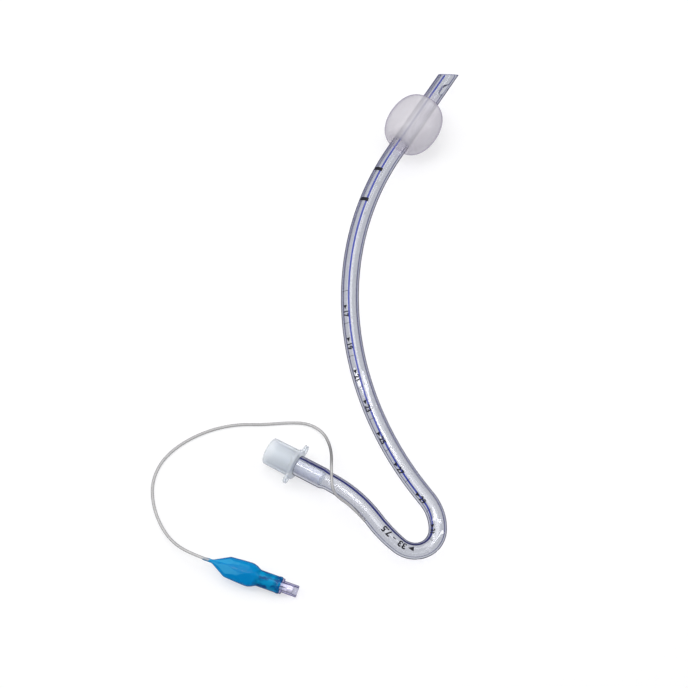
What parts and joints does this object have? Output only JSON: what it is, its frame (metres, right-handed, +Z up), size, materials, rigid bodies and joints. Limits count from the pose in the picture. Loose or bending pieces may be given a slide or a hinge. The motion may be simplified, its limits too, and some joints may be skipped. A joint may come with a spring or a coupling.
{
  "type": "endotracheal tube",
  "caption": "Clear curved airway tube with an inflated cuff, side eye, standard cone connector with lugs, and a thin line to a pilot balloon with a syringe valve.",
  "frame": {"origin": "on the surface that the tube lies on, under the middle of the box round the tube, cuff and connector", "axes": "+Z up; +Y from the tight bend towards the patient end, along the tube's greatest extent; +X towards the side that the bevelled tip leans to"},
  "size_m": [0.1761, 0.3267, 0.032],
  "materials": {
    "airway_tube": "clear soft PVC, polished by extrusion",
    "radiopaque_line": "dark blue line in the wall",
    "cuff": "thin frosted PVC film",
    "connector": "milky moulded polypropylene",
    "inflation_line": "clear soft PVC",
    "pilot_balloon": "translucent blue PVC film",
    "valve_body": "clear moulded plastic",
    "valve_retainer": "white moulded plastic",
    "valve_spring": "drawn stainless wire",
    "valve_poppet": "white moulded plastic",
    "valve_seal": "black rubber ring"
  },
  "bodies": {
    "airway": {"airway_tube": "airway_tube", "radiopaque_line": "radiopaque_line", "cuff": "cuff", "connector": "connector", "inflation_line": "inflation_line", "pilot_balloon": "pilot_balloon", "valve_body": "valve_body", "valve_retainer": "valve_retainer", "valve_spring": "valve_spring"},
    "poppet": {"valve_poppet": "valve_poppet", "valve_seal": "valve_seal"}
  },
  "joints": [
    {"name": "poppet_press", "type": "slide", "parent": "airway", "child": "poppet", "axis": [-0.9422, 0.3281, 0.0686], "range_m": [0, 0.0015], "stiffness_N_per_m": 300, "springref_m": -0.002, "deforming": ["valve_spring"]}
  ]
}
